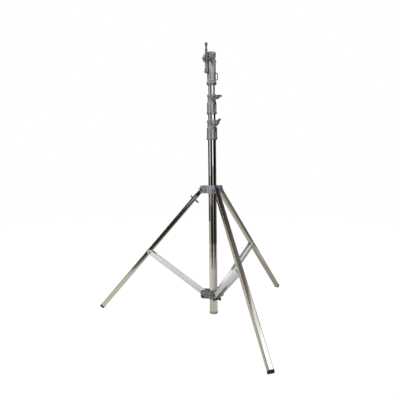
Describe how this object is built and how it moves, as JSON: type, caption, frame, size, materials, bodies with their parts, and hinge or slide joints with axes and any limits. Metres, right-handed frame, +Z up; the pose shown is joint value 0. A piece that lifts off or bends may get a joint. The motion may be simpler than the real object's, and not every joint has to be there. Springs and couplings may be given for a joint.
{
  "type": "studio stand",
  "caption": "Folding studio stand with a telescoping chromed column, screw-clamped collars, a head with an upright socket and folding stud arm, and braced square legs with one levelling leg.",
  "frame": {"origin": "on the column's axis, at the floor the feet stand on", "axes": "+Z up along the column; the picture's camera looks along +Y with +X to its right"},
  "size_m": [1.152, 1.2011, 1.5075],
  "materials": {
    "black_steel": "black oxide steel",
    "brace": "satin zinc-plated steel channel",
    "brass": "plain brass",
    "casting": "light grey satin paint on die-cast alloy",
    "chrome": "polished chrome plate on steel tube",
    "end_cap": "warm grey metallic paint",
    "leg_chrome": "chrome plate on square steel tube, slightly duller than the column",
    "nylon": "dark nylon",
    "rubber": "black rubber, matt",
    "steel": "plain plated steel",
    "zinc": "zinc-plated pressed steel, cool grey"
  },
  "bodies": {
    "column": {"column_tube": "chrome", "column_foot_plug": "end_cap", "lower_collar": "casting", "lower_collar_bush": "nylon", "lower_collar_brake_pad": "brass", "base_plate_1": "zinc", "base_plate_2": "zinc", "base_plate_3": "zinc", "base_bolt_front": "steel", "base_bolt_rear": "steel", "base_bolt_level": "steel", "brace_stop_front": "black_steel", "brace_stop_rear": "black_steel", "brace_stop_level": "black_steel"},
    "lower_lock": {"lower_collar_screw": "steel", "lower_collar_handle": "casting"},
    "riser_1": {"riser_1_tube": "chrome", "riser_1_guide_bush": "nylon", "upper_collar": "casting", "upper_collar_bush": "nylon", "upper_collar_brake_pad": "brass"},
    "upper_lock": {"upper_collar_screw": "steel", "upper_collar_handle": "casting"},
    "riser_2": {"riser_2_tube": "chrome", "riser_2_guide_bush": "nylon", "head_casting": "casting", "safety_loop": "steel", "arm_pin": "steel"},
    "socket_lock": {"head_screw": "steel", "head_handle": "casting"},
    "arm": {"side_arm": "casting", "stud": "steel"},
    "arm_lock": {"arm_handle": "casting"},
    "hub": {"hub_sleeve": "zinc", "hub_plate_1": "zinc", "hub_plate_2": "zinc", "hub_plate_3": "zinc", "hub_bolt_front": "steel", "hub_bolt_rear": "steel", "hub_bolt_level": "steel"},
    "hub_lock": {"hub_lock_handle": "casting"},
    "leg_front": {"leg_front": "leg_chrome", "foot_front": "rubber"},
    "leg_rear": {"leg_rear": "leg_chrome", "foot_rear": "rubber"},
    "level_bar": {"level_bar": "black_steel"},
    "level_leg": {"leg_level": "leg_chrome", "foot_level": "rubber", "level_clamp_boss": "zinc"},
    "level_lock": {"level_handle": "casting"},
    "brace_front": {"brace_front": "brace", "brace_front_tip_head": "steel", "brace_front_tip_nut": "steel"},
    "brace_rear": {"brace_rear": "brace", "brace_rear_tip_head": "steel", "brace_rear_tip_nut": "steel"},
    "brace_level": {"brace_level": "brace", "brace_level_tip_head": "steel", "brace_level_tip_nut": "steel"}
  },
  "joints": [
    {"name": "riser_1_slide", "type": "slide", "parent": "column", "child": "riser_1", "axis": [0, 0, 1], "range_m": [-0.03, 0.84]},
    {"name": "riser_2_slide", "type": "slide", "parent": "riser_1", "child": "riser_2", "axis": [0, 0, 1], "range_m": [-0.046, 0.9]},
    {"name": "hub_slide", "type": "slide", "parent": "column", "child": "hub", "axis": [0, 0, 1], "range_m": [0, 0.245]},
    {"name": "leg_front_fold", "type": "hinge", "parent": "hub", "child": "leg_front", "pos_m": [0.0207, -0.05844, 0.7165], "axis": [0.9426, 0.3338, 0], "range_deg": [0, 25.84]},
    {"name": "brace_front_fold", "type": "hinge", "parent": "column", "child": "brace_front", "pos_m": [0.01319, -0.03723, 0.1165], "axis": [0.9426, 0.3338, 0], "range_deg": [-33.99, 0]},
    {"name": "leg_rear_fold", "type": "hinge", "parent": "hub", "child": "leg_rear", "pos_m": [0.04027, 0.04715, 0.7165], "axis": [-0.7604, 0.6494, 0], "range_deg": [0, 25.84]},
    {"name": "brace_rear_fold", "type": "hinge", "parent": "column", "child": "brace_rear", "pos_m": [0.02565, 0.03004, 0.1165], "axis": [-0.7604, 0.6494, 0], "range_deg": [-33.99, 0]},
    {"name": "leg_level_fold", "type": "hinge", "parent": "hub", "child": "level_bar", "pos_m": [-0.06096, 0.0113, 0.7165], "axis": [-0.1822, -0.9833, 0], "range_deg": [0, 25.84]},
    {"name": "brace_level_fold", "type": "hinge", "parent": "column", "child": "brace_level", "pos_m": [-0.03884, 0.0072, 0.1165], "axis": [-0.1822, -0.9833, 0], "range_deg": [-33.99, 0]},
    {"name": "level_leg_slide", "type": "slide", "parent": "level_bar", "child": "level_leg", "axis": [-0.6502, 0.1205, -0.7501], "range_m": [-0.02, 0.15]},
    {"name": "arm_fold", "type": "hinge", "parent": "riser_2", "child": "arm", "pos_m": [-0.02837, -0.02216, 1.3565], "axis": [0.6157, -0.788, 0], "range_deg": [0, 135]},
    {"name": "lower_lock_turn", "type": "hinge", "parent": "column", "child": "lower_lock", "pos_m": [0, 0, 1.0785], "axis": [0.5736, -0.8191, 0], "range_deg": [0, 180]},
    {"name": "upper_lock_turn", "type": "hinge", "parent": "riser_1", "child": "upper_lock", "pos_m": [0, 0, 1.217], "axis": [0.5736, -0.8191, 0], "range_deg": [0, 180]},
    {"name": "socket_lock_turn", "type": "hinge", "parent": "riser_2", "child": "socket_lock", "pos_m": [0, 0, 1.4235], "axis": [0.1219, -0.9925, 0], "range_deg": [-75, 20]},
    {"name": "arm_lock_turn", "type": "hinge", "parent": "arm", "child": "arm_lock", "pos_m": [0, 0, 1.4235], "axis": [-0.788, -0.6157, 0], "range_deg": [-30, 30]},
    {"name": "hub_lock_turn", "type": "hinge", "parent": "hub", "child": "hub_lock", "pos_m": [0, 0, 0.7165], "axis": [-0.3338, 0.9426, 0], "range_deg": [0, 180]},
    {"name": "level_lock_turn", "type": "hinge", "parent": "level_leg", "child": "level_lock", "pos_m": [-0.10908, 0.02022, 0.66099], "axis": [0.1822, 0.9833, 0], "range_deg": [0, 180]}
  ],
  "couplings": [
    {"joint": "leg_front_fold", "follows": "hub_slide", "rad_per_m": 1.8396},
    {"joint": "brace_front_fold", "follows": "hub_slide", "rad_per_m": -2.4202},
    {"joint": "leg_rear_fold", "follows": "hub_slide", "rad_per_m": 1.8396},
    {"joint": "brace_rear_fold", "follows": "hub_slide", "rad_per_m": -2.4202},
    {"joint": "leg_level_fold", "follows": "hub_slide", "rad_per_m": 1.8396},
    {"joint": "brace_level_fold", "follows": "hub_slide", "rad_per_m": -2.4202}
  ]
}
